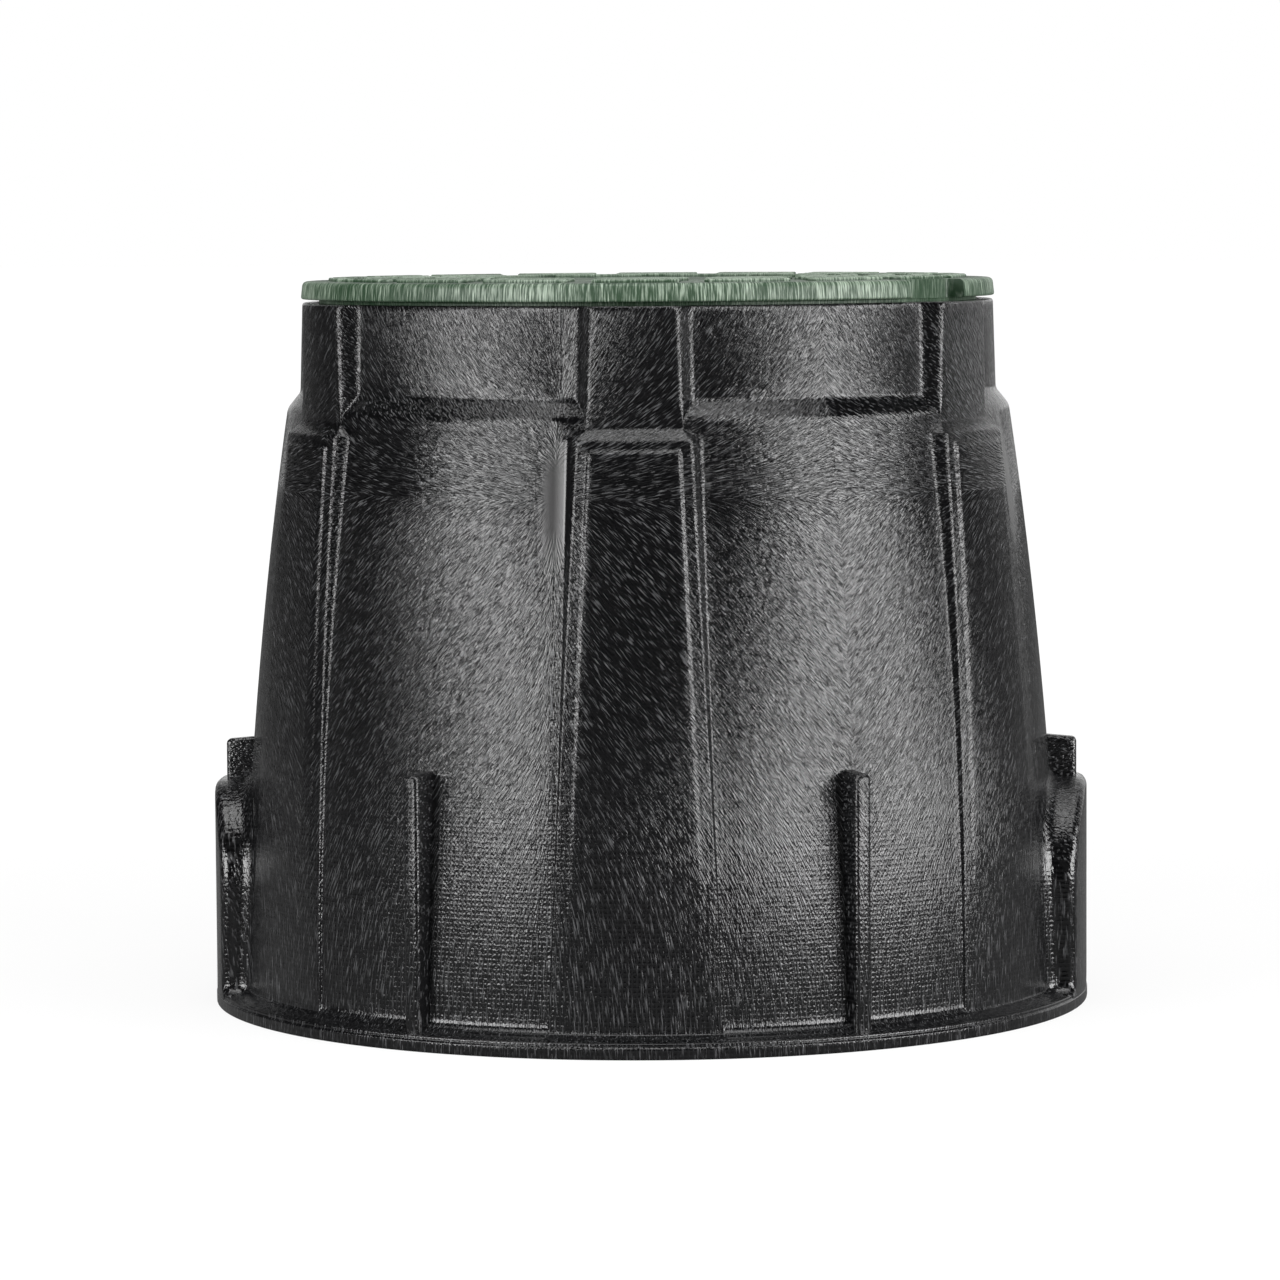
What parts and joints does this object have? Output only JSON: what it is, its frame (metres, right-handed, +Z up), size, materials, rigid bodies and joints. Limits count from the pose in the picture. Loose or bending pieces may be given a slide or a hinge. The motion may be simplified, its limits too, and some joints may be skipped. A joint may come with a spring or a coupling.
{
  "type": "irrigation valve box",
  "caption": "Round tapered valve box with raised pilasters, stacking ribs, pipe arches and a stepped base flange, closed by a lift-off green cover with a pry notch.",
  "frame": {"origin": "centre of the base flange's underside, on the ground", "axes": "+Z up through the cover, the two pipe arches face +X and -X, the front pilaster faces -Y"},
  "size_m": [0.323, 0.323, 0.2662],
  "materials": {
    "body_plastic": "black structural-foam polyethylene with flow swirl",
    "cover_plastic": "green structural-foam polyethylene, matt"
  },
  "bodies": {
    "root": {"box_body": "body_plastic", "cover": "cover_plastic"}
  },
  "joints": []
}
